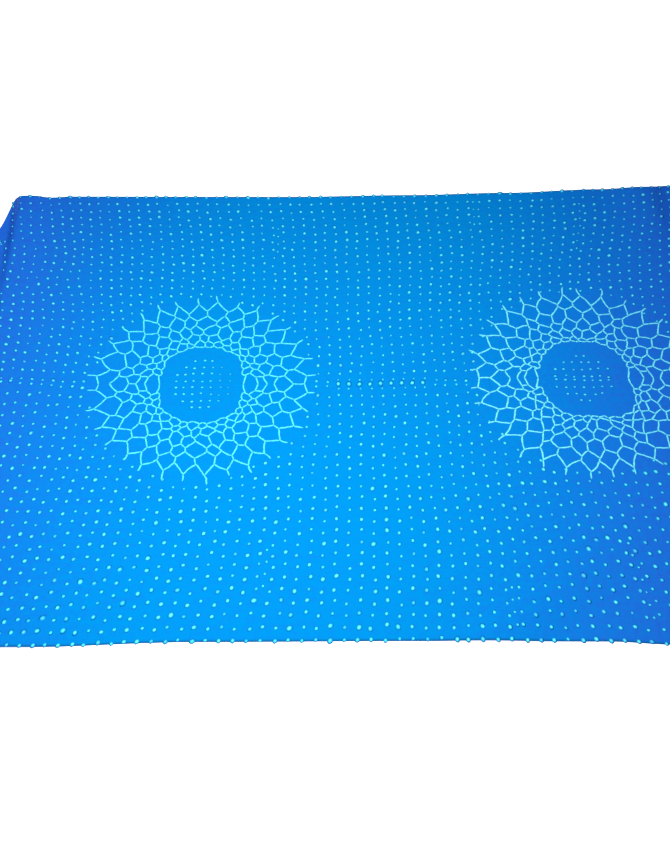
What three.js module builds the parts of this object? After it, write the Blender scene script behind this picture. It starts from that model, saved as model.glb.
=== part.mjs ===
// Bandhani saree: one length of light cloth laid out on a flat surface. Its middle is spread from
// selvedge to selvedge, and each end lies beside it in flat plies.
// Millimetres. +X runs along the cloth, +Y across it to the far selvedge, and +Z is up.
// The origin is on the surface, under the middle of the whole lay.
import * as THREE from 'three';
import { mergeVertices } from 'three/addons/utils/BufferGeometryUtils.js';

// ---- driving dimensions --------------------------------------------------------------------
const WALL = 2;              // thickness that stands for one layer of cloth
const GAP = 0.3;             // between pieces that meet
const CLOTH_WIDTH = 1150;    // selvedge to selvedge
const HALF_LAY = 1180;       // from the middle to the outer folds of the plies
const PLY_LENGTH = 310;      // one ply, from fold to fold
const PLY_PITCH = 2.4;       // one ply and the air under it
const PLIES = 6;             // layers in each folded end, the lowest one included
const SPREAD_HALF = 900;     // the spread cloth ends here, out of sight under the plies
const HEM_WIDTH = 12;
const HEM_THICKNESS = 3;

// The lay isn't quite even across, so the cloth's fold line is off the middle of the whole.
const FOLD_LINE_Y = 27;

// The left end lies nearer than the spread cloth, and the right end a little further off.
const LEFT_DRIFT = -80;
const RIGHT_DRIFT = 20;

// Selvedges of the spread cloth: [x, y from the fold line], with a soft curve between the points.
const FAR_SELVEDGE = [
  [-SPREAD_HALF, 495], [-866, 495], [-835, 470], [-796, 452], [-772, 560], [-752, 553],
  [-700, 560], [-645, 569], [-100, 568], [180, 574], [420, 582], [640, 594], [720, 592],
  [757, 591], [810, 606], [SPREAD_HALF, 600],
];
const NEAR_SELVEDGE = [
  [-SPREAD_HALF, -655], [-860, -652], [-600, -584], [-250, -573], [150, -571], [500, -572],
  [620, -578], [SPREAD_HALF, -560],
];

// Where the cloth stands off the surface: low soft swells, each along a line. A swell reaches
// this far to the left and to the right of the way from its start to its end.
const SWELLS = [
  { from: [-752, 620], to: [-742, 60], height: 19, leftReach: 100, rightReach: 31 },
  { from: [-812, 560], to: [-812, 60], height: 13, leftReach: 34, rightReach: 34 },
  { from: [757, 640], to: [770, 280], height: 12, leftReach: 46, rightReach: 120 },
  { from: [240, -600], to: [640, -330], height: 5, leftReach: 75, rightReach: 75 },
  { from: [-620, -600], to: [-330, -400], height: 4, leftReach: 70, rightReach: 70 },
];

// Columns of the spread cloth's grid are this far apart, and closer where it breaks into a fold.
const COLUMN_STEP = 50;
const FOLD_COLUMN_STEP = 9;
const FOLD_START = -850;
const FOLD_END = -700;

const AZURE = new THREE.MeshStandardMaterial({ color: 0x0a86e8, roughness: 0.72, metalness: 0 });
const HEM_AZURE = new THREE.MeshStandardMaterial({ color: 0x0a78d4, roughness: 0.78, metalness: 0 });

// ---- shared geometry -----------------------------------------------------------------------
const smooth = (u) => u * u * (3 - 2 * u);

// Height of a soft curve through points that run from left to right.
function curveAt(points, x) {
  const last = points.length - 2;
  const found = points.findIndex((point, i) => i <= last && x <= points[i + 1][0]);
  const i = found < 0 ? last : found;
  const [x0, y0] = points[i];
  const [x1, y1] = points[i + 1];
  return y0 + (y1 - y0) * smooth(THREE.MathUtils.clamp((x - x0) / (x1 - x0), 0, 1));
}

// How far the cloth's underside stands off the surface at a place. It is zero nearly everywhere.
function liftAt(x, y) {
  const place = new THREE.Vector2(x, y);
  return SWELLS.reduce((lift, { from, to, height, leftReach, rightReach }) => {
    const start = new THREE.Vector2(...from);
    const run = new THREE.Vector2(...to).sub(start);
    const along = THREE.MathUtils.clamp(place.clone().sub(start).dot(run) / run.lengthSq(), 0, 1);
    const off = place.clone().sub(start).addScaledVector(run, -along);
    const reach = run.cross(off) > 0 ? leftReach : rightReach;
    const across = smooth(Math.max(0, 1 - off.length() / reach));
    return lift + height * across * smooth(1 - along);
  }, 0);
}

function meshOf(name, geometry, material) {
  const mesh = new THREE.Mesh(geometry, material);
  mesh.name = name;
  return mesh;
}

// ---- the spread stretch --------------------------------------------------------------------
// A wall of cloth over a grid, closed round its rim. Columns are closer at the far left corner,
// where the cloth breaks into a fold.
function spreadColumns() {
  const columns = [];
  let x = -SPREAD_HALF;
  while (x < SPREAD_HALF - FOLD_COLUMN_STEP) {
    columns.push(x);
    x += x >= FOLD_START && x < FOLD_END ? FOLD_COLUMN_STEP : COLUMN_STEP;
  }
  columns.push(SPREAD_HALF);
  return columns;
}

function spreadStretch() {
  const columns = spreadColumns();
  const rows = 22;
  const across = rows + 1;
  const positions = [];
  const addLayer = (thickness) => {
    for (const x of columns) {
      const near = curveAt(NEAR_SELVEDGE, x);
      const far = curveAt(FAR_SELVEDGE, x);
      for (let row = 0; row <= rows; row += 1) {
        const y = near + (far - near) * row / rows;
        positions.push(x, y, liftAt(x, y) + thickness);
      }
    }
  };
  addLayer(0);
  addLayer(WALL);

  const top = columns.length * across;
  const faces = [];
  const addQuad = (a, b, c, d) => faces.push(a, b, c, a, c, d);
  for (let i = 0; i < columns.length - 1; i += 1) {
    for (let row = 0; row < rows; row += 1) {
      const a = i * across + row;
      const b = a + across;
      addQuad(a, a + 1, b + 1, b);
      addQuad(top + a, top + b, top + b + 1, top + a + 1);
    }
    const nearEdge = i * across;
    const farEdge = nearEdge + rows;
    addQuad(nearEdge, nearEdge + across, top + nearEdge + across, top + nearEdge);
    addQuad(farEdge + across, farEdge, top + farEdge, top + farEdge + across);
  }
  const lastColumn = (columns.length - 1) * across;
  for (let row = 0; row < rows; row += 1) {
    addQuad(row + 1, row, top + row, top + row + 1);
    const end = lastColumn + row;
    addQuad(end, end + 1, top + end + 1, top + end);
  }

  const geometry = new THREE.BufferGeometry();
  geometry.setAttribute('position', new THREE.Float32BufferAttribute(positions, 3));
  geometry.setIndex(faces);
  return geometry;
}

// ---- a folded end --------------------------------------------------------------------------
// The plies share one solid. Its outline is drawn in x and z for the right-hand end, with a round
// lobe for each fold, and it is extruded across the cloth.
const INNER_EDGE = HALF_LAY - PLY_LENGTH;
const LOBE_RADIUS = PLY_PITCH - GAP / 2;
const GROOVE = 5;            // how far in the folds part from each other

function plyOutline() {
  const outline = new THREE.Shape();
  const lobeAt = (z, side) => {
    const outer = side > 0;
    const centre = outer ? HALF_LAY - LOBE_RADIUS : INNER_EDGE + LOBE_RADIUS;
    outline.absarc(centre, z, LOBE_RADIUS, outer ? -Math.PI / 2 : Math.PI / 2,
      outer ? Math.PI / 2 : 1.5 * Math.PI, false);
  };
  const height = PLIES * PLY_PITCH;
  outline.moveTo(SPREAD_HALF + GAP, 0);
  for (let z = PLY_PITCH; z < height; z += 2 * PLY_PITCH) {
    lobeAt(z + (z > PLY_PITCH ? 0 : -GAP / 2), 1);
    if (z + PLY_PITCH < height - 1) {
      outline.lineTo(HALF_LAY - LOBE_RADIUS - GROOVE, z + PLY_PITCH);
    }
  }
  const topZ = height - GAP / 2;
  const hemStart = INNER_EDGE + HEM_WIDTH + GAP;
  const underTopPly = height - PLY_PITCH - GAP / 2;
  outline.lineTo(hemStart, topZ);
  outline.lineTo(hemStart, underTopPly);
  for (let z = height - 2 * PLY_PITCH; z > PLY_PITCH; z -= 2 * PLY_PITCH) {
    lobeAt(z, -1);
    if (z - PLY_PITCH > 2 * PLY_PITCH) {
      outline.lineTo(INNER_EDGE + LOBE_RADIUS + GROOVE, z - PLY_PITCH);
    }
  }
  outline.lineTo(SPREAD_HALF + GAP, WALL + GAP);
  outline.closePath();
  return outline;
}

// Turns a right-hand shape drawn in x and z into one that lies across the cloth. A side of -1
// mirrors it to the left, and its triangles are then turned over to face outwards again.
function acrossCloth(shape, steps, drift, side) {
  const geometry = new THREE.ExtrudeGeometry(shape, {
    depth: CLOTH_WIDTH, steps, bevelEnabled: false, curveSegments: 10,
  });
  geometry.rotateX(Math.PI / 2);
  geometry.translate(0, CLOTH_WIDTH / 2 + drift, 0);
  geometry.deleteAttribute('normal');
  geometry.deleteAttribute('uv');
  const merged = mergeVertices(geometry, 1e-4);
  if (side < 0) {
    merged.scale(-1, 1, 1);
    const index = merged.index.array;
    for (let i = 0; i < index.length; i += 3) {
      [index[i + 1], index[i + 2]] = [index[i + 2], index[i + 1]];
    }
  }
  return merged;
}

// The plies aren't laid back and forth exactly: each fold line is askew or bowed by a few
// millimetres, and each pair of plies lies a little further along or back than the one under it.
const OUTER_FOLDS = [{ skew: 0, bow: -3 }, { skew: 5, bow: 1 }, { skew: -4, bow: -2 }];
const INNER_FOLDS = [{ skew: 3, bow: 2 }, { skew: -4, bow: 3 }];
const PAIR_OFFSETS = [0, -5, 4];

function foldedEnd(drift, side) {
  const geometry = acrossCloth(plyOutline(), 6, drift, side);
  const position = geometry.attributes.position;
  for (let i = 0; i < position.count; i += 1) {
    const layer = position.getZ(i) / PLY_PITCH + 0.05;
    const across = (position.getY(i) - drift) / (CLOTH_WIDTH / 2);
    const reach = Math.abs(position.getX(i));
    let fold = null;
    if (reach > HALF_LAY - PLY_LENGTH / 2) {
      fold = OUTER_FOLDS[Math.min(2, Math.floor(layer / 2))];
    } else if (reach < INNER_EDGE + LOBE_RADIUS + GROOVE + GAP) {
      fold = INNER_FOLDS[Math.min(1, Math.floor((layer - 1) / 2))];
    }
    if (fold) {
      const shift = fold.skew * across + fold.bow * (1 - across * across);
      position.setX(i, position.getX(i) + side * shift);
    }
    const pair = Math.min(2, Math.floor(layer / 2));
    position.setY(i, position.getY(i) + PAIR_OFFSETS[pair]);
  }
  return geometry;
}

// ---- an end hem ----------------------------------------------------------------------------
function endHem(drift, side) {
  const underside = (PLIES - 1) * PLY_PITCH + GAP / 2;
  const round = HEM_THICKNESS / 2;
  const outline = new THREE.Shape();
  outline.moveTo(INNER_EDGE + HEM_WIDTH, underside);
  outline.lineTo(INNER_EDGE + HEM_WIDTH, underside + HEM_THICKNESS);
  outline.absarc(INNER_EDGE + round, underside + round, round, Math.PI / 2, 1.5 * Math.PI, false);
  outline.closePath();
  const geometry = acrossCloth(outline, 1, drift, side);
  geometry.translate(0, PAIR_OFFSETS[2], 0);
  return geometry;
}

// ---- the saree -----------------------------------------------------------------------------
const saree = new THREE.Group();
saree.position.y = FOLD_LINE_Y;
saree.add(
  meshOf('spread_stretch', spreadStretch(), AZURE),
  meshOf('left_folded_end', foldedEnd(LEFT_DRIFT, -1), AZURE),
  meshOf('right_folded_end', foldedEnd(RIGHT_DRIFT, 1), AZURE),
  meshOf('left_end_hem', endHem(LEFT_DRIFT, -1), HEM_AZURE),
  meshOf('right_end_hem', endHem(RIGHT_DRIFT, 1), HEM_AZURE),
);

export default saree;
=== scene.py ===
"""A bandhani saree laid out flat: its middle is spread to show two tied net rings among rows of
tied dots, and each end lies beside it in plies."""

import math
import random

import bpy
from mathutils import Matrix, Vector, noise


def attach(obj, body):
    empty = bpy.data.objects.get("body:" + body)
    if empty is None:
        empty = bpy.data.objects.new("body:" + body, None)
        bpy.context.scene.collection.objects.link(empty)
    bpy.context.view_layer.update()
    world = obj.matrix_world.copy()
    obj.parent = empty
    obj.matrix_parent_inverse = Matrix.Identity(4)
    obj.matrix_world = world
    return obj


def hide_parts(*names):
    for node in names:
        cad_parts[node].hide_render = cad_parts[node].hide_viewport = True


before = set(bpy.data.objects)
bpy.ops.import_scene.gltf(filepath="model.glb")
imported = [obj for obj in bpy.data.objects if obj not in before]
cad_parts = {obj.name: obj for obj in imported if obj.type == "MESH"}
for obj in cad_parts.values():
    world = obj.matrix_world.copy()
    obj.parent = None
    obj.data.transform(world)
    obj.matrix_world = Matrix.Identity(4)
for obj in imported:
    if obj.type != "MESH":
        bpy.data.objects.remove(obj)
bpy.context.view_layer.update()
bpy.ops.object.select_all(action="DESELECT")

# ---------------------------------------------------------------------------------------------
# The floor, the lights and the camera. The floor is plain and pale. One soft lamp hangs over
# the near half of the cloth, a little left of its middle, and the room fills in the rest.
# ---------------------------------------------------------------------------------------------
FOLD_LINE = 0.027            # y of the line that the cloth was folded along to be tied

bpy.ops.mesh.primitive_circle_add(vertices=96, radius=14, fill_type="NGON", location=(0, 0, -0.0002))
floor = bpy.context.object
floor.name = "floor"
pale = bpy.data.materials.new("pale_floor")
pale.use_nodes = True
pale_shader = pale.node_tree.nodes["Principled BSDF"]
pale_shader.inputs["Base Color"].default_value = (0.86, 0.87, 0.88, 1)
pale_shader.inputs["Roughness"].default_value = 0.9
pale_shader.inputs["Specular IOR Level"].default_value = 0.1
pale_shader.inputs["Emission Color"].default_value = (1, 1, 1, 1)
pale_shader.inputs["Emission Strength"].default_value = 0.8
floor.data.materials.append(pale)


def add_lamp(name, place, aim, size, power, colour):
    """A soft square lamp that the camera doesn't see."""
    light = bpy.data.lights.new(name, "AREA")
    light.size = size
    light.energy = power
    light.color = colour
    lamp = bpy.data.objects.new(name, light)
    lamp.location = place
    lamp.rotation_euler = (Vector(aim) - Vector(place)).to_track_quat("-Z", "Y").to_euler()
    lamp.visible_camera = False
    bpy.context.scene.collection.objects.link(lamp)


add_lamp("key_lamp", (-0.20, -0.28, 1.52), (-0.20, -0.28, 0), 0.9, 45, (1.0, 1.0, 0.82))

room = bpy.data.worlds.new("room")
room.use_nodes = True
room_nodes = room.node_tree.nodes
room_links = room.node_tree.links
backdrop = room_nodes["Background"]
backdrop.inputs["Color"].default_value = (0.32, 0.42, 1, 1)
backdrop.inputs["Strength"].default_value = 0.30
seen = room_nodes.new("ShaderNodeBackground")
seen.inputs["Strength"].default_value = 1.02
seen_or_not = room_nodes.new("ShaderNodeMixShader")
room_links.new(room_nodes.new("ShaderNodeLightPath").outputs["Is Camera Ray"], seen_or_not.inputs[0])
room_links.new(backdrop.outputs[0], seen_or_not.inputs[1])
room_links.new(seen.outputs[0], seen_or_not.inputs[2])
room_links.new(seen_or_not.outputs[0], room_nodes["World Output"].inputs["Surface"])
bpy.context.scene.world = room
bpy.context.scene.view_settings.view_transform = "Standard"

CAMERA_HEIGHT = 1.82
CAMERA_BACK = 1.31           # from the fold line
LOOK_DOWN = 56.15            # degrees under level
lens = bpy.data.cameras.new("camera")
lens.sensor_width = 36
lens.lens = 44.96
camera = bpy.data.objects.new("camera", lens)
camera.location = (0, FOLD_LINE - CAMERA_BACK, CAMERA_HEIGHT)
camera.rotation_euler = (math.radians(90 - LOOK_DOWN), 0, 0)
bpy.context.scene.collection.objects.link(camera)
bpy.context.scene.camera = camera

# ---------------------------------------------------------------------------------------------
# The spread stretch. It is one layer of light silk-mix cloth, woven plain, that lies with low
# soft swells. At the far left corner it breaks into a fold where it was held.
# A place on the cloth is (along, across): along its length, and across from the fold line.
# ---------------------------------------------------------------------------------------------
HALF_WIDTH = 0.575
CLOTH = 0.0008               # one layer as made here
UPPER_FACE = 0.0010          # of the lowest layer, over the floor
SPREAD_HALF = 0.900          # the spread cloth ends here, under the plies

FAR_SELVEDGE = [
    (-0.900, 0.495), (-0.866, 0.495), (-0.835, 0.470), (-0.796, 0.452), (-0.772, 0.560),
    (-0.752, 0.551), (-0.705, 0.557), (-0.645, 0.569), (-0.100, 0.568), (0.180, 0.574),
    (0.420, 0.582), (0.640, 0.594), (0.720, 0.592), (0.757, 0.591), (0.810, 0.606), (0.900, 0.600),
]
NEAR_SELVEDGE = [
    (-0.900, -0.655), (-0.860, -0.652), (-0.600, -0.584), (-0.250, -0.573), (0.150, -0.571),
    (0.500, -0.572), (0.620, -0.578), (0.900, -0.560),
]
FOLD = [
    (-0.900, 0.020), (-0.696, 0.018), (-0.550, 0.007), (0.050, 0.007), (0.240, 0.012),
    (0.300, 0.0125), (0.460, 0.025), (0.900, 0.027),
]

# Swells: start, end, height, and reach on the left and on the right of the way from start to end.
SWELLS = [
    ((-0.752, 0.620), (-0.742, 0.060), 0.021, 0.100, 0.026),
    ((-0.812, 0.560), (-0.812, 0.060), 0.014, 0.034, 0.034),
    ((0.757, 0.640), (0.770, 0.280), 0.012, 0.046, 0.120),
    ((0.240, -0.600), (0.640, -0.330), 0.005, 0.075, 0.075),
    ((-0.620, -0.600), (-0.330, -0.400), 0.004, 0.070, 0.070),
]
CREASE_HEIGHT = 0.0005
CREASE_REACH = 0.007


def smooth(u):
    u = min(1.0, max(0.0, u))
    return u * u * (3 - 2 * u)


def curve_at(points, x):
    """Height at x of a soft curve through points that run from left to right."""
    for (x0, y0), (x1, y1) in zip(points, points[1:]):
        if x <= x1:
            return y0 + (y1 - y0) * smooth((x - x0) / (x1 - x0))
    return points[-1][1]


def lift_at(x, y):
    """How far the cloth stands off the floor. It is zero nearly everywhere."""
    lift = 0.0
    for (x0, y0), (x1, y1), height, left_reach, right_reach in SWELLS:
        run_x, run_y = x1 - x0, y1 - y0
        square = run_x * run_x + run_y * run_y
        along = min(1.0, max(0.0, ((x - x0) * run_x + (y - y0) * run_y) / square))
        off_x, off_y = x - x0 - along * run_x, y - y0 - along * run_y
        side = run_x * off_y - run_y * off_x
        reach = left_reach if side > 0 else right_reach
        lift += height * smooth(1 - math.hypot(off_x, off_y) / reach) * smooth(1 - along)
    return lift


def spread_level(x, y):
    """Height of the upper face of the spread cloth."""
    crease = CREASE_HEIGHT * smooth(1 - abs(y - curve_at(FOLD, x)) / CREASE_REACH)
    return UPPER_FACE + lift_at(x, y) + crease


def spread_plan(along, across):
    """Where a place on the cloth lies, seen from above. It is measured from FOLD_LINE."""
    fold = curve_at(FOLD, along)
    edge = curve_at(FAR_SELVEDGE if across > 0 else NEAR_SELVEDGE, along)
    return along, fold + abs(across) / HALF_WIDTH * (edge - fold)


def spread_place(along, across):
    x, y = spread_plan(along, across)
    return (x, FOLD_LINE + y, spread_level(x, y) - CLOTH / 2)


def steps_between(start, end, step):
    count = max(1, round((end - start) / step))
    return [start + (end - start) * i / count for i in range(count)]


def cloth_rows():
    """Places across the cloth. They are close together at the fold line and the selvedges."""
    half = steps_between(0, 0.012, 0.0024) + steps_between(0.012, HALF_WIDTH - 0.006, 0.0105)
    half += steps_between(HALF_WIDTH - 0.006, HALF_WIDTH, 0.002) + [HALF_WIDTH]
    return [-place for place in reversed(half[1:])] + half


def add_mesh(name, places, faces):
    mesh = bpy.data.meshes.new(name)
    mesh.from_pydata(places, [], faces)
    mesh.validate()
    piece = bpy.data.objects.new(name, mesh)
    bpy.context.scene.collection.objects.link(piece)
    return piece


def add_sheet(name, columns, rows, place):
    """A layer of cloth over a grid that runs through the middle of its thickness."""
    places = [place(along, across) for along in columns for across in rows]
    count = len(rows)
    faces = [
        (i * count + j, (i + 1) * count + j, (i + 1) * count + j + 1, i * count + j + 1)
        for i in range(len(columns) - 1)
        for j in range(count - 1)
    ]
    sheet = add_mesh(name, places, faces)
    # Nearness to a selvedge. The edge is drawn darker, partly its own deeper blue and partly painted shadow of its
    # thickness.
    edge = sheet.data.attributes.new("selvedge", "FLOAT", "POINT")
    nearness = [smooth(1.5 - (HALF_WIDTH - abs(across)) / 0.0035) for across in rows]
    edge.data.foreach_set("value", nearness * len(columns))
    finish_cloth(sheet)
    return sheet


def finish_cloth(sheet):
    bpy.context.view_layer.objects.active = sheet
    sheet.select_set(True)
    solidify = sheet.modifiers.new("thickness", "SOLIDIFY")
    solidify.thickness = CLOTH
    solidify.offset = 0
    bpy.ops.object.modifier_apply(modifier=solidify.name)
    bpy.ops.object.shade_smooth_by_angle(angle=math.radians(60))
    sheet.select_set(False)


corner_columns = steps_between(-0.860, -0.660, 0.0036)
spread_columns = steps_between(-SPREAD_HALF, -0.860, 0.010) + corner_columns
spread_columns += steps_between(-0.660, SPREAD_HALF, 0.0105) + [SPREAD_HALF]
spread = add_sheet("spread_cloth", spread_columns, cloth_rows(), spread_place)


def new_group(name, inputs, outputs):
    """A shader node group with its sockets, and its input and output nodes."""
    group = bpy.data.node_groups.new(name, "ShaderNodeTree")
    for direction, sockets in (("INPUT", inputs), ("OUTPUT", outputs)):
        for label, kind in sockets:
            group.interface.new_socket(label, in_out=direction, socket_type=f"NodeSocket{kind}")
    start = group.nodes.new("NodeGroupInput")
    end = group.nodes.new("NodeGroupOutput")
    return group, start, end


def add_math(tree, operation, first, second):
    """A Math node. Each of its two values is a socket or a number."""
    node = tree.nodes.new("ShaderNodeMath")
    node.operation = operation
    for socket, value in zip(node.inputs, (first, second)):
        if isinstance(value, (int, float)):
            socket.default_value = value
        else:
            tree.links.new(value, socket)
    return node.outputs[0]


def add_noise(tree, source, scale, detail, stretch=(1, 1, 1)):
    """Noise from -1 to 1, or nearly."""
    mapping = tree.nodes.new("ShaderNodeMapping")
    mapping.inputs["Scale"].default_value = stretch
    noise = tree.nodes.new("ShaderNodeTexNoise")
    noise.inputs["Scale"].default_value = scale
    noise.inputs["Detail"].default_value = detail
    tree.links.new(source, mapping.inputs["Vector"])
    tree.links.new(mapping.outputs[0], noise.inputs["Vector"])
    return add_math(tree, "MULTIPLY", add_math(tree, "SUBTRACT", noise.outputs[0], 0.5), 3.2)


def add_mix(tree, factor, first, second):
    mix = tree.nodes.new("ShaderNodeMix")
    mix.data_type = "RGBA"
    for socket, value in ((mix.inputs[0], factor), (mix.inputs[6], first), (mix.inputs[7], second)):
        if hasattr(value, "links"):
            tree.links.new(value, socket)
        else:
            socket.default_value = value
    return mix.outputs[2]


# Azure dye takes a little unevenly: in clouds, in small mottles, and along thick threads. Over this is
# painted shade: the colour is brightest in a broad band across the middle of the cloth, and darker towards both ends,
# where the light falls off.
LIT_BAND_MIDDLE = (-0.030, 0.027, 0)
LIT_BAND_TURN = -0.17
DYE_AND_SHADE_COLOURS = [(0.0, (0.0155, 0.095, 0.575, 1)), (0.6, (0.0030, 0.158, 0.590, 1)), (1.0, (0.0, 0.207, 0.585, 1))]
dye_and_painted_shade, dye_in, dye_and_shade_out = new_group("azure dye and painted shade", [("Place", "Vector")], [("Colour", "Color")])
dye_place = dye_in.outputs["Place"]
clouds = add_noise(dye_and_painted_shade, dye_place, 1.7, 2)
mottles = add_noise(dye_and_painted_shade, dye_place, 90, 3)
threads = add_noise(dye_and_painted_shade, dye_place, 1, 2, (9, 420, 1))
cross_threads = add_noise(dye_and_painted_shade, dye_place, 1, 2, (420, 14, 1))
from_lit_band = dye_and_painted_shade.nodes.new("ShaderNodeMapping")
from_lit_band.vector_type = "TEXTURE"
from_lit_band.inputs["Location"].default_value = LIT_BAND_MIDDLE
from_lit_band.inputs["Rotation"].default_value = (0, 0, LIT_BAND_TURN)
from_lit_band.inputs["Scale"].default_value = (1, 20, 1)
dye_and_painted_shade.links.new(dye_place, from_lit_band.inputs["Vector"])
distance = dye_and_painted_shade.nodes.new("ShaderNodeVectorMath")
distance.operation = "LENGTH"
dye_and_painted_shade.links.new(from_lit_band.outputs[0], distance.inputs[0])
# Painted shade: the colour darkens away from the band, standing in for the light's falloff.
painted_falloff = dye_and_painted_shade.nodes.new("ShaderNodeMapRange")
painted_falloff.interpolation_type = "SMOOTHSTEP"
painted_falloff.inputs["From Min"].default_value = 0.20
painted_falloff.inputs["From Max"].default_value = 1.00
painted_falloff.inputs["To Min"].default_value = 0.93
painted_falloff.inputs["To Max"].default_value = 0.0
dye_and_painted_shade.links.new(distance.outputs["Value"], painted_falloff.inputs["Value"])
brightness = painted_falloff.outputs[0]
for unevenness, share in ((clouds, 0.10), (mottles, 0.22), (threads, 0.17), (cross_threads, 0.06)):
    brightness = add_math(dye_and_painted_shade, "ADD", brightness, add_math(dye_and_painted_shade, "MULTIPLY", unevenness, share))
dye_and_shade_ramp = dye_and_painted_shade.nodes.new("ShaderNodeValToRGB")
dye_and_shade_stops = dye_and_shade_ramp.color_ramp.elements
dye_and_shade_stops.new(DYE_AND_SHADE_COLOURS[1][0])
for stop, (place, colour) in zip(dye_and_shade_stops, DYE_AND_SHADE_COLOURS):
    stop.position = place
    stop.color = colour
dye_and_painted_shade.links.new(brightness, dye_and_shade_ramp.inputs["Fac"])
dye_and_painted_shade.links.new(dye_and_shade_ramp.outputs["Color"], dye_and_shade_out.inputs["Colour"])

# Plain weave, with slack places between the ties where the cloth puckers.
plain_weave, weave_in, weave_out = new_group("plain weave", [("Place", "Vector")], [("Height", "Float")])
heights = []
for direction in ("X", "Y"):
    wave = plain_weave.nodes.new("ShaderNodeTexWave")
    wave.bands_direction = direction
    wave.inputs["Scale"].default_value = 440
    wave.inputs["Distortion"].default_value = 0.6
    plain_weave.links.new(weave_in.outputs["Place"], wave.inputs["Vector"])
    heights.append(wave.outputs["Fac"])
weave_height = add_math(plain_weave, "MULTIPLY", heights[0], heights[1])
slubs = add_noise(plain_weave, weave_in.outputs["Place"], 1, 2, (9, 420, 1))
puckers = add_noise(plain_weave, weave_in.outputs["Place"], 46, 2)
weave_height = add_math(plain_weave, "ADD", weave_height, add_math(plain_weave, "MULTIPLY", slubs, 0.8))
weave_height = add_math(plain_weave, "ADD", weave_height, add_math(plain_weave, "MULTIPLY", puckers, 5))
plain_weave.links.new(weave_height, weave_out.inputs["Height"])


def new_cloth_material(name):
    """The woven cloth in its dye, with painted shade towards both ends. Returns the material, its shader and its
    colour.
    """
    material = bpy.data.materials.new(name)
    material.use_nodes = True
    tree = material.node_tree
    shader = tree.nodes["Principled BSDF"]
    shader.inputs["Roughness"].default_value = 0.72
    shader.inputs["Specular IOR Level"].default_value = 0.12
    shader.inputs["Specular Tint"].default_value = (0.0, 0.45, 1, 1)
    place = tree.nodes.new("ShaderNodeTexCoord").outputs["Object"]
    groups = []
    for group in (dye_and_painted_shade, plain_weave):
        node = tree.nodes.new("ShaderNodeGroup")
        node.node_tree = group
        tree.links.new(place, node.inputs["Place"])
        groups.append(node.outputs[0])
    bump = tree.nodes.new("ShaderNodeBump")
    bump.inputs["Strength"].default_value = 0.5
    bump.inputs["Distance"].default_value = 0.0002
    tree.links.new(groups[1], bump.inputs["Height"])
    tree.links.new(bump.outputs[0], shader.inputs["Normal"])
    tree.links.new(groups[0], shader.inputs["Base Color"])
    return material, tree, shader, groups[0]


def read_attribute(tree, name):
    node = tree.nodes.new("ShaderNodeAttribute")
    node.attribute_name = name
    return node


# The selvedges are a deeper blue: partly the edge's own colour, partly painted shadow of the cloth's thickness along
# it.
SELVEDGE_BLUE = (0.004, 0.085, 0.27, 1)
dyed_cloth, cloth_tree, cloth_shader, cloth_colour = new_cloth_material("dyed_cloth")
selvedge = read_attribute(cloth_tree, "selvedge").outputs["Fac"]
edged_colour = add_mix(cloth_tree, add_math(cloth_tree, "MULTIPLY", selvedge, 0.9), cloth_colour, SELVEDGE_BLUE)
cloth_tree.links.new(edged_colour, cloth_shader.inputs["Base Color"])

spread.data.materials.append(dyed_cloth)
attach(spread, "root")
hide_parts("spread_stretch")

# ---------------------------------------------------------------------------------------------
# The tied dots of the spread stretch. Each was a pinch of cloth bound with thread, so the dye
# missed it. The cloth was folded in half before it was tied, so the far half mirrors the near
# half. Columns of dots splay towards the selvedges, and a double row runs along the fold.
# ---------------------------------------------------------------------------------------------
COLUMN_PITCH = 0.0225
FIRST_ROW = 0.0058           # from the fold line
LAST_ROW = 0.5725
EDGE_DOT = 0.5735            # no dot is farther out
ROW_COUNT = 24
SPLAY = 0.068                # greatest shift of a column at the selvedge
SPLAY_MIDDLE = 0.08          # columns here stay straight
RINGS = {"left": (-0.2846, 0.0075), "right": (0.535, 0.0235)}
DOTLESS_REACH = 0.235        # no dots this near to the middle of a ring
MERGED_START, MERGED_END = 0.0, 0.2     # here the two dots on the fold line run into one
MERGED_SIDE = 0.0118         # and a small dot lies on each side of it

# Short columns of small dots stand between two others: middle, and where they start and end.
SHORT_COLUMNS = [(-0.117, 0.39, 0.49), (0.311, 0.47, 0.57), (0.536, 0.38, 0.55)]


def column_shift(middle, away, half):
    """How far a dot lies along the cloth from the foot of its column."""
    shift = SPLAY * math.sin(math.tau * (middle - SPLAY_MIDDLE) / 3) * (away / HALF_WIDTH) ** 1.7
    shift += 0.012 * noise.noise((middle * 2.5, away * 6, 3))
    if half > 0:
        # The far left corner was pulled, and the columns bend there.
        pulled = 0.010 * smooth(1 - abs(away - 0.39) / 0.085) - 0.014 * smooth(1 - abs(away - 0.29) / 0.050)
        shift += pulled * smooth((-0.52 - middle) / 0.08)
    return shift


def dot_size(random_source, away, half):
    """Dots differ in size, and they are larger towards the near selvedge."""
    size = random_source.uniform(0.0046, 0.0068) * (1.2 if random_source.random() < 0.16 else 1)
    return size * (1.02 + (0.18 if half < 0 else 0.14) * smooth(away / 0.5))


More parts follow.
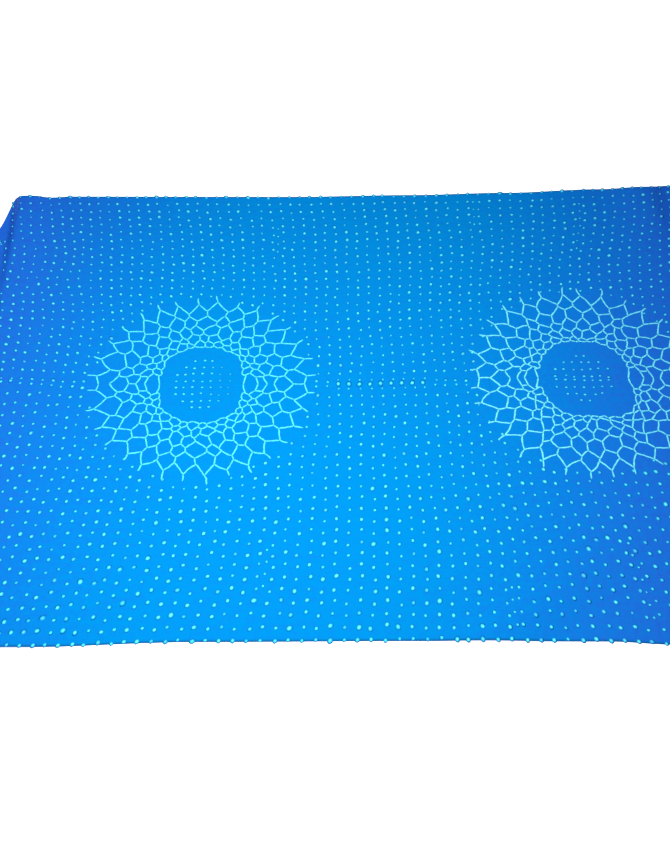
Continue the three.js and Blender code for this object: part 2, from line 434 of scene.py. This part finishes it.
def dot_places(random_source, first, last, ring_spots):
    """Places of tied dots over a length of cloth: (along, across, size, strength)."""
    places = []

    def add_place(along, across, size):
        strength = random_source.choice((0.55, 0.70, 0.80, 0.90, 0.95, 1.0))
        across = max(-EDGE_DOT, min(EDGE_DOT, across))
        x, y = spread_plan(along, across)
        in_ring = any(math.hypot(x - cx, y - cy) < DOTLESS_REACH for cx, cy in ring_spots)
        if first <= along <= last and not in_ring:
            places.append((along, across, size, strength))

    column_count = round((last - first) / COLUMN_PITCH)
    spare = math.ceil(SPLAY / COLUMN_PITCH)
    pitch = (LAST_ROW - FIRST_ROW) / (ROW_COUNT - 1)
    for column in range(-spare, column_count + spare + 1):
        middle = first + column * COLUMN_PITCH
        stagger = 0.12 * (1 if column % 2 else -1) + 0.2 * noise.noise((middle * 3, 0.5, 0))
        merged = MERGED_START < middle < MERGED_END
        if merged:
            add_place(middle, random_source.gauss(0, 0.001), random_source.uniform(0.0078, 0.0092))
        for row in range(ROW_COUNT):
            ease = min(1, row / 2, (ROW_COUNT - 1 - row) / 3)
            away = FIRST_ROW + (row + stagger * ease) * pitch
            for half in (-1, 1):
                across = half * (away + random_source.gauss(0, 0.0014))
                along = middle + column_shift(middle, away, half) + random_source.gauss(0, 0.0013)
                size = dot_size(random_source, away, half)
                if merged and row == 0:
                    across, size = half * MERGED_SIDE, 0.0046
                add_place(along, across, size)
    for middle, start, end in SHORT_COLUMNS:
        for away in steps_between(start, end, pitch):
            for half in (-1, 1):
                along = middle + column_shift(middle, away, half) + random_source.gauss(0, 0.001)
                add_place(along, half * away, random_source.uniform(0.0044, 0.0054))
    return places


DOT_CORNERS = 7

# Out from the middle of a dot: reach, height over the cloth, how far it is undyed, and how much
# deeper the dye is. The dye pools just outside the thread.
DOT_RINGS = [(1.50, -0.00003, 0, 0.35), (0.98, 0.00012, 0.20, 0.75), (0.58, 0.00026, 1, 0)]
DOT_TOP = 0.00036
DOT_LENGTH = 1.16             # of its size
DOT_BREADTH = 0.90


def add_dot(build, place, lean, size, strength):
    """A low dome of undyed cloth. Its rim dips into the cloth and its underside is closed."""
    places, faces, ties = build
    base = len(places)
    for reach, rise, undyed, deeper in DOT_RINGS:
        for corner in range(DOT_CORNERS):
            angle = corner * math.tau / DOT_CORNERS
            long_way = math.cos(angle) * size / 2 * DOT_LENGTH * reach
            short_way = math.sin(angle) * size / 2 * DOT_BREADTH * reach
            x = long_way * math.cos(lean) - short_way * math.sin(lean)
            y = long_way * math.sin(lean) + short_way * math.cos(lean)
            places.append((place[0] + x, place[1] + y, place[2] + rise))
            ties.append((strength * undyed, 0, strength * deeper))
    places.append((place[0], place[1], place[2] + DOT_TOP))
    ties.append((strength, 1 if size > 0.0068 else 0.15, 0))
    for corner in range(DOT_CORNERS):
        after = (corner + 1) % DOT_CORNERS
        for ring in (base, base + DOT_CORNERS):
            faces.append((ring + corner, ring + after, ring + DOT_CORNERS + after, ring + DOT_CORNERS + corner))
        inner = base + 2 * DOT_CORNERS
        faces.append((inner + corner, inner + after, inner + DOT_CORNERS))
    faces.append(tuple(base + corner for corner in reversed(range(DOT_CORNERS))))


def add_tied(name, build):
    """Makes one piece of all the domes and lines in build."""
    places, faces, ties = build
    piece = add_mesh(name, places, faces)
    tie = piece.data.attributes.new("tie", "FLOAT_COLOR", "POINT")
    tie.data.foreach_set("color", [part for undyed, pale, deeper in ties for part in (undyed, pale, deeper, 1)])
    for polygon in piece.data.polygons:
        polygon.use_smooth = len(polygon.vertices) < 5
    return piece


def lean_at(along, across):
    """Dots lean outwards from the middle, and those between stand across the cloth."""
    beyond = along - (0.2 if across < 0 else 0)
    return math.pi / 2 - math.copysign(0.75, across) * math.tanh(beyond * 4)


dots = ([], [], [])
source = random.Random(31)
for along, across, size, strength in dot_places(source, -0.893, 0.893, RINGS.values()):
    x, y = spread_plan(along, across)
    lean = lean_at(along, across) + source.gauss(0, 0.22)
    add_dot(dots, (x, FOLD_LINE + y, spread_level(x, y)), lean, size, strength)
spread_dots = add_tied("spread_dots", dots)

# The undyed cloth is pale aqua, and it is paler in the middle of a large dot and along the lines of a
# net; the right net's extra paleness is painted light. The dye round it is a deep teal.
AQUA = (0.062, 0.71, 0.93, 1)
PALE_AQUA = (0.30, 0.86, 0.94, 1)
DEEP_TEAL = (0.002, 0.115, 0.36, 1)
tied_cloth, tied_tree, tied_shader, tied_base = new_cloth_material("tied_cloth")
split = tied_tree.nodes.new("ShaderNodeSeparateColor")
tied_tree.links.new(read_attribute(tied_tree, "tie").outputs["Color"], split.inputs[0])
paleness = add_math(tied_tree, "MULTIPLY", split.outputs[1], 0.7)
aqua = add_mix(tied_tree, paleness, AQUA, PALE_AQUA)
pooled = add_mix(tied_tree, split.outputs[2], tied_base, DEEP_TEAL)
tied_colour = add_mix(tied_tree, split.outputs[0], pooled, aqua)
tied_tree.links.new(tied_colour, tied_shader.inputs["Base Color"])


def finish_tied(piece):
    piece.data.materials.append(tied_cloth)
    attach(piece, "root")


finish_tied(spread_dots)

# ---------------------------------------------------------------------------------------------
# The two net rings. Each is five rings of 32 cells that shrink towards the bare middle, where a
# patch of small dots is. The cloth was folded in four to tie a ring, so its quarters mirror
# each other roughly, and its far and near halves mirror each other closely.
# ---------------------------------------------------------------------------------------------
CELLS = 32
CELL_RINGS = 5
OUTER_REACH = 0.1975         # from the middle of the ring to the middles of its outer cells
SHRINK = 0.844
BORDER_REACH = 0.234         # bare cloth outside the net counts as cells this far out
BARE_REACH = 0.0895          # and so does the bare middle
LOOSENESS = 0.24             # how far the middle of a cell strays, as a share of the cell
INNER_LOOSENESS = 0.32       # in the two innermost rings of cells
SQUARENESS = 0.09            # the bare middle is a little squarer than an oval
EYE_REACH = 0.107            # wide cells lie on the fold line, this far out
SPIKE = 0.019
BULGE_ANGLE = 0.75
BULGE_SPREAD = 0.70
RIGHT, LEFT = 0, CELLS       # steps that lie on the fold line
FOLD_REACHES = (0.219, 0.196, 0.155, 0.141, 0.121, 0.089)
NEXT_TO_FOLD = {1: (0.1757, 0.0213), 2: (0.1625, 0.0184), 3: (0.131, 0.019), 4: (0.1146, 0.0181), 5: (0.0948, 0.0235)}
ZIGZAG_PUSHES = (0.16, 0.09, 0.06, 0.06, 0.02, 0.02)    # lengthen the points


def cell_reach(ring):
    borders = {-1: BORDER_REACH, CELL_RINGS: BARE_REACH}
    return borders.get(ring, OUTER_REACH * SHRINK ** ring)


def net_joints(random_source, oval, bulge, left_rim):
    """Joints of the lines of a net, by zigzag (0 is the outermost) and step round it. The bare
    middle bulges towards the near right, and left_rim is how far it is from its own middle."""
    draws = {}

    def draw(key):
        if key not in draws:
            draws[key] = [random_source.uniform(-1, 1) for _ in range(3)]
        return draws[key]

    def cell_middle(ring, cell):
        """Where a cell is, and how strongly it draws its joints in. A strong one is small."""
        step = (2 * cell + (1 if ring % 2 == 0 else 0)) % (2 * CELLS)
        half_step = min(step, 2 * CELLS - step)
        quarter_step = min(half_step, CELLS - half_step)
        quarter, half = draw((ring, quarter_step)), draw((ring, half_step, "half"))
        out, turn, pull = (0.75 * a + 0.5 * b for a, b in zip(quarter, half))
        if step in (RIGHT, LEFT):
            turn = 0
        if (step > CELLS) != (half_step > CELLS / 2):
            turn = -turn
        in_net = 0 <= ring < CELL_RINGS
        stray = (INNER_LOOSENESS if ring > 2 else LOOSENESS) if in_net else 0.08
        angle = (step / 2 + turn * stray) * math.tau / CELLS
        reach = cell_reach(ring) * (1 + out * stray * math.tau / CELLS)
        return Vector((reach * math.cos(angle), reach * math.sin(angle))), math.exp((0.35 + 0.06 * ring) * pull) if in_net else 1

    joints = {}
    for zigzag in range(CELL_RINGS + 1):
        even = zigzag % 2 == 0
        gap = cell_reach(zigzag - 1) - cell_reach(zigzag)
        for step in range(2 * CELLS):
            cell = step // 2
            points_out = (step % 2 == 1) == even
            if points_out:
                third = (zigzag - 1, cell + 1 if even else cell - 1)
            else:
                third = (zigzag, cell - 1 if even else cell + 1)
            around = [cell_middle(*each) for each in ((zigzag - 1, cell), (zigzag, cell), third)]
            total = sum(pull for _, pull in around)
            joint = sum((middle * pull for middle, pull in around), Vector((0, 0))) / total
            push = gap * ZIGZAG_PUSHES[zigzag] * (1 if points_out else -1)
            joint += joint.normalized() * push
            inwards = zigzag / CELL_RINGS
            lie = (joint.x ** 2 - joint.y ** 2) / joint.length_squared
            corner = 2 * joint.x * joint.y / joint.length_squared
            to_bulge = abs(math.atan2(joint.y, joint.x) + BULGE_ANGLE)
            joint *= 1 - oval * lie * inwards
            joint *= 1 + inwards ** 2 * (SQUARENESS * corner ** 2 + bulge * smooth(1 - to_bulge / BULGE_SPREAD))
            slip = 0.045 * joint.length * math.tau / CELLS
            joint += Vector((random_source.gauss(0, slip), random_source.gauss(0, slip)))
            for side in (-1, 1):
                off = joint - Vector((side * EYE_REACH, 0))
                parting = off.normalized() * 0.012 * smooth(1 - off.length / 0.055)
                joint += Vector((side * max(0, side * parting.x), parting.y))
            joints[zigzag, step] = joint
    for fold_step, side in ((RIGHT, 1), (LEFT, -1)):
        for zigzag, reach in enumerate(FOLD_REACHES):
            joints[zigzag, fold_step] = Vector((side * reach, 0))
        for zigzag, (reach, off) in NEXT_TO_FOLD.items():
            for turn in (-1, 1):
                stray = random_source.gauss(0, 0.0012)
                joints[zigzag, (fold_step + turn) % (2 * CELLS)] = Vector((side * reach + stray, side * turn * off))
    for zigzag, share in ((4, 0.5), (5, 1)):
        for step in (LEFT - 1, LEFT, LEFT + 1):
            joints[zigzag, step].x -= share * (left_rim - FOLD_REACHES[5])
    return joints


def net_lines(random_source, joints, missing):
    """Ends of the lines of a net. Lines in missing run inwards from the joints given."""
    lines = []
    for zigzag, step in joints:
        lines.append((joints[zigzag, step], joints[zigzag, (step + 1) % (2 * CELLS)]))
        points_out = (step % 2 == 1) == (zigzag % 2 == 0)
        if not points_out and zigzag < CELL_RINGS and (zigzag, step) not in missing:
            lines.append((joints[zigzag, step], joints[zigzag + 1, step]))
        if points_out and zigzag == 0:
            joint = joints[zigzag, step]
            outwards = joint.normalized()
            aside = outwards.orthogonal() * random_source.gauss(0, 0.22)
            lines.append((joint, joint + (outwards + aside) * SPIKE * random_source.uniform(0.7, 1.15)))
    return lines


# Across a line: share of its half width, height over the cloth, how far it is undyed, and how
# much deeper the dye is. The last is underneath.
LINE_SIDE = [(1.45, -0.00005, 0, 0.25), (0.90, 0.00012, 0.3, 0.5), (0.45, 0.00026, 1, 0)]
LINE_SHAPE = [(-share, *rest) for share, *rest in LINE_SIDE] + [(0, 0.00034, 1, 0)]
LINE_SHAPE += LINE_SIDE[::-1] + [(0, -0.00030, 0, 0)]


def add_line(build, path, widths, strengths, paleness):
    """A low round ridge of undyed cloth along a path of (x, y) measured from FOLD_LINE."""
    places, faces, ties = build
    base = len(places)
    count = len(LINE_SHAPE)
    for i, here in enumerate(path):
        ahead = (path[min(i + 1, len(path) - 1)] - path[max(i - 1, 0)]).normalized()
        for share, rise, undyed, deeper in LINE_SHAPE:
            x = here.x - ahead.y * share * widths[i] / 2
            y = here.y + ahead.x * share * widths[i] / 2
            places.append((x, FOLD_LINE + y, spread_level(x, y) + rise))
            ties.append((strengths[i] * undyed, paleness, deeper))
    for i in range(len(path) - 1):
        for j in range(count):
            here, after = base + i * count + j, base + i * count + (j + 1) % count
            faces.append((here, here + count, after + count, after))
    faces.append(tuple(base + j for j in range(count)))
    faces.append(tuple(base + (len(path) - 1) * count + j for j in reversed(range(count))))


def add_net_line(build, random_source, start, end, paleness):
    length = (end - start).length
    aside = (end - start).orthogonal() / length
    bend = random_source.gauss(0, 0.035) * length
    count = max(2, round(length / 0.0045))
    path, widths, strengths = [], [], []
    for i in range(count + 1):
        share = i / count
        wobble = random_source.gauss(0, 0.00025)
        path.append(start.lerp(end, share) + aside * (bend * math.sin(math.pi * share) + wobble))
        widths.append(random_source.uniform(0.0030, 0.0042) * (0.8 if i in (0, count) else 1))
        strengths.append(random_source.choice((0.75, 0.95, 1, 1, 1)))
    add_line(build, path, widths, strengths, paleness)


# Rows of the patches: how far across from the fold line, and how many dots.
LEFT_PATCH = [(0.0088, 7), (0.0264, 7), (0.0440, 5), (0.0616, 3)]
RIGHT_PATCH = [(0.0045, 7), (0.0240, 7), (0.0420, 5), (0.0590, 2)]
PATCH_COLUMN = 0.0189

nets = []
# The right net's lines are drawn paler than the left's: painted light, making up for the lamp's falloff on the right.
for name, seed, paleness, swell, oval, bulge, left_rim, missing, patch, patch_shift, fade in (
    ("left", 5, 0.15, 1.0, 0.055, 0.0, 0.089, {(0, LEFT), (2, RIGHT), (4, LEFT), (4, RIGHT)}, LEFT_PATCH, 0.002, 0.7),
    ("right", 12, 0.6, 1.035, 0.03, 0.16, 0.098, {(2, LEFT), (2, RIGHT), (4, LEFT), (4, RIGHT)}, RIGHT_PATCH, -0.005, 0),
):
    source = random.Random(seed)
    middle = Vector(RINGS[name])
    net = ([], [], [])
    joints = {key: joint * swell for key, joint in net_joints(source, oval, bulge, left_rim).items()}
    for start, end in net_lines(source, joints, missing):
        add_net_line(net, source, middle + start, middle + end, paleness)
    for away, count in patch:
        for half in (-1, 1):
            for column in range(count):
                x = middle.x + patch_shift + (column - (count - 1) / 2) * PATCH_COLUMN + source.gauss(0, 0.0012)
                y = middle.y + half * away + source.gauss(0, 0.0012)
                strength = source.uniform(0.7, 1.0) * (1 - fade * smooth((x - middle.x) / 0.055))
                add_dot(net, (x, FOLD_LINE + y, spread_level(x, y)), 0, source.uniform(0.0045, 0.0062), strength)
    nets.append(add_tied(f"{name}_net", net))
    finish_tied(nets[-1])

# ---------------------------------------------------------------------------------------------
# The folded ends. The rest of the length lies back and forth on itself, in five plies on top of
# the spread layer. Each fold is round and slack, and none lies exactly over the one under it.
# ---------------------------------------------------------------------------------------------
PLY_PITCH = 0.0024
PLIES = 6
OUTER_EDGE = 1.180
INNER_EDGE = 0.870
FOLD_RADIUS = 0.0020
HEM_WIDTH = 0.012
LEFT_DRIFT = -0.080
RIGHT_DRIFT = 0.020
PAIR_OFFSETS = (0, -0.005, 0.004)

# Each fold line is askew and bowed by a few millimetres.
OUTER_FOLDS = [(0, -0.003), (0.005, 0.001), (-0.004, -0.002)]
INNER_FOLDS = [(0.003, 0.002), (-0.004, 0.003)]


def fold_line(ply, across):
    """Distance out from the middle to the fold, or the end, that a ply runs to."""
    share = across / HALF_WIDTH
    if ply % 2 == 0:
        skew, bow = OUTER_FOLDS[ply // 2]
        return OUTER_EDGE - FOLD_RADIUS + skew * share + bow * (1 - share * share)
    if ply == PLIES - 1:
        return INNER_EDGE + HEM_WIDTH
    skew, bow = INNER_FOLDS[ply // 2]
    return INNER_EDGE + FOLD_RADIUS + skew * share + bow * (1 - share * share)


def ply_level(ply, out, across):
    """Height of a ply. The plies lie slack, so the upper ones follow a soft unevenness."""
    slack = math.sin(19 * out + 3.1 * across) + math.sin(11.3 * across - 7 * out)
    return UPPER_FACE - CLOTH / 2 + PLY_PITCH * ply * (1 + 0.07 * slack)


SLACK_REACH = 0.022          # plies part over this far as they near a fold


def slack_level(ply, out, across):
    """Height of the middle of a ply, which parts from its partner as it nears a fold."""
    level = ply_level(ply, out, across)
    for partner in (ply - 1, ply + 1):
        if 0 <= partner < PLIES:
            edge = fold_line(min(ply, partner), across)
            middle = (level + ply_level(partner, out, across)) / 2
            parted = middle + math.copysign(FOLD_RADIUS, level - middle)
            level += (parted - level) * smooth(1 - abs(out - edge) / SLACK_REACH)
    return max(level, UPPER_FACE - CLOTH / 2)


def ply_place(ply, share, across):
    """Out, across and height of a place on a flat ply, share of the way along it."""
    start = SPREAD_HALF if ply == 0 else fold_line(ply - 1, across)
    out = start + (fold_line(ply, across) - start) * share
    return out, across, slack_level(ply, out, across)


def end_route():
    """Steps along the folded length: (ply, share) on the flat, or (ply, None, turn) in a fold."""
    route = []
    for ply in range(PLIES):
        spans = steps_between(0, 1, 1 / 30)
        route += [(ply, share, None) for share in spans] + [(ply, 1.0, None)]
        if ply < PLIES - 1:
            route += [(ply, 1.0, turn) for turn in (0.17, 0.34, 0.5, 0.66, 0.83)]
    return route


def make_end_place(side, drift):
    def end_place(step, across):
        ply, share, turn = step
        out, _, level = ply_place(ply, share, across)
        pair_drift = PAIR_OFFSETS[ply // 2]
        if turn is not None:
            above = ply_place(ply + 1, 0.0, across)[2]
            direction = 1 if ply % 2 == 0 else -1
            angle = math.pi * turn
            out += direction * FOLD_RADIUS * math.sin(angle)
            level = (level + above) / 2 - (above - level) / 2 * math.cos(angle)
            pair_drift += (PAIR_OFFSETS[(ply + 1) // 2] - pair_drift) * turn
        y = FOLD_LINE + drift + pair_drift + across
        return (side * out, y, level)
    return end_place


TOP_PLY = PLIES - 1
ENDS = (("left", -1, LEFT_DRIFT), ("right", 1, RIGHT_DRIFT))
end_dots = {}
for name, side, drift in ENDS:
    end = add_sheet(f"{name}_folded_cloth", end_route(), cloth_rows(), make_end_place(side, drift))
    end.data.materials.append(dyed_cloth)
    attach(end, "root")
    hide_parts(f"{name}_folded_end")

    dots = ([], [], [])
    source = random.Random(f"{name} end")
    for out, across, size, strength in dot_places(source, INNER_EDGE + HEM_WIDTH + 0.006, OUTER_EDGE - 0.006, ()):
        y = FOLD_LINE + drift + PAIR_OFFSETS[TOP_PLY // 2] + across
        level = slack_level(TOP_PLY, out, across) + CLOTH / 2
        lean = side * lean_at(out, across) + source.gauss(0, 0.25)
        add_dot(dots, (side * out, y, level), lean, size, strength)
    end_dots[name] = add_tied(f"{name}_end_dots", dots)
    finish_tied(end_dots[name])

# ---------------------------------------------------------------------------------------------
# The end hems. Each end of the length is turned over twice, and sewn down with a running stitch
# in thread of the same blue. The cloth draws in a little at each stitch.
# ---------------------------------------------------------------------------------------------
HEM_HEIGHT = 0.0024
HEM_ROUND = 0.0009
STITCH_PITCH = 0.005
STITCH = (0.0005, 0.0034, 0.0004)       # wide, long and high
STITCH_INSET = 0.0022        # from the edge that is sewn down
STITCH_COUNT = round(2 * HALF_WIDTH / STITCH_PITCH) - 1
DRAWN_IN = 0.00022
THREAD_BLUE = (0.010, 0.16, 0.55, 1)

hem_cloth, hem_tree, hem_shader, hem_colour = new_cloth_material("hem_cloth")
hem_place = hem_tree.nodes.new("ShaderNodeTexCoord").outputs["Object"]
hem_depth = add_math(hem_tree, "ADD", add_math(hem_tree, "MULTIPLY", add_noise(hem_tree, hem_place, 60, 3), 0.15), 0.35)
hem_tree.links.new(add_mix(hem_tree, hem_depth, hem_colour, SELVEDGE_BLUE), hem_shader.inputs["Base Color"])

hem_thread = bpy.data.materials.new("hem_thread")
hem_thread.use_nodes = True
thread_tree = hem_thread.node_tree
thread_shader = thread_tree.nodes["Principled BSDF"]
thread_shader.inputs["Roughness"].default_value = 0.5
thread_shader.inputs["Specular IOR Level"].default_value = 0.3
thread_place = thread_tree.nodes.new("ShaderNodeTexCoord").outputs["Object"]
thread_shade = add_math(thread_tree, "ADD", add_math(thread_tree, "MULTIPLY", add_noise(thread_tree, thread_place, 900, 2), 0.3), 0.4)
thread_colour = add_mix(thread_tree, thread_shade, THREAD_BLUE, SELVEDGE_BLUE)
thread_tree.links.new(thread_colour, thread_shader.inputs["Base Color"])


def select_long_edges(piece):
    """Selects the edges that run across the cloth, in edit mode."""
    bpy.ops.object.mode_set(mode="EDIT")
    bpy.ops.mesh.select_mode(type="EDGE")
    bpy.ops.mesh.select_all(action="DESELECT")
    bpy.ops.object.mode_set(mode="OBJECT")
    for edge in piece.data.edges:
        first, last = (piece.data.vertices[index].co for index in edge.vertices)
        edge.select = abs(last.y - first.y) > HALF_WIDTH
    bpy.ops.object.mode_set(mode="EDIT")


def finish_hem_piece(piece, material, side, drift):
    """Lays a piece that was made flat on the top ply, where it follows the ply's unevenness."""
    start_y = FOLD_LINE + drift + PAIR_OFFSETS[TOP_PLY // 2]
    for vertex in piece.data.vertices:
        across = vertex.co.y - start_y
        stitch_share = (across + HALF_WIDTH) / STITCH_PITCH
        drawn_in = DRAWN_IN * (0.5 + 0.5 * math.cos(math.tau * stitch_share))
        vertex.co.z += slack_level(TOP_PLY, INNER_EDGE + HEM_WIDTH, across) - drawn_in
    piece.data.materials.append(material)
    bpy.ops.object.shade_smooth_by_angle(angle=math.radians(50))
    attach(piece, "root")
    piece.select_set(False)


for name, side, drift in ENDS:
    start_y = FOLD_LINE + drift + PAIR_OFFSETS[TOP_PLY // 2]
    middle_x = side * (INNER_EDGE + HEM_WIDTH / 2)
    bpy.ops.mesh.primitive_cube_add(size=1, location=(middle_x, start_y, 0), scale=(HEM_WIDTH, 2 * HALF_WIDTH, HEM_HEIGHT))
    hem = bpy.context.object
    hem.name = f"{name}_hem"
    bpy.ops.object.transform_apply(location=True, rotation=False, scale=True)
    select_long_edges(hem)
    bpy.ops.mesh.bevel(offset=HEM_ROUND, segments=3)
    select_long_edges(hem)
    bpy.ops.mesh.subdivide(number_cuts=4 * STITCH_COUNT)
    bpy.ops.object.mode_set(mode="OBJECT")
    finish_hem_piece(hem, hem_cloth, side, drift)
    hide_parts(f"{name}_end_hem")

    stitch_x = side * (INNER_EDGE + HEM_WIDTH - STITCH_INSET)
    first_y = start_y - HALF_WIDTH + STITCH_PITCH
    bpy.ops.mesh.primitive_uv_sphere_add(segments=8, ring_count=5, radius=0.5, location=(stitch_x, first_y, HEM_HEIGHT / 2), scale=STITCH)
    stitches = bpy.context.object
    stitches.name = f"{name}_hem_stitches"
    bpy.ops.object.transform_apply(location=True, rotation=False, scale=True)
    array = stitches.modifiers.new("stitches", "ARRAY")
    array.count = STITCH_COUNT
    array.use_relative_offset = False
    array.use_constant_offset = True
    array.constant_offset_displace = (0, STITCH_PITCH, 0)
    bpy.ops.object.modifier_apply(modifier=array.name)
    finish_hem_piece(stitches, hem_thread, side, drift)
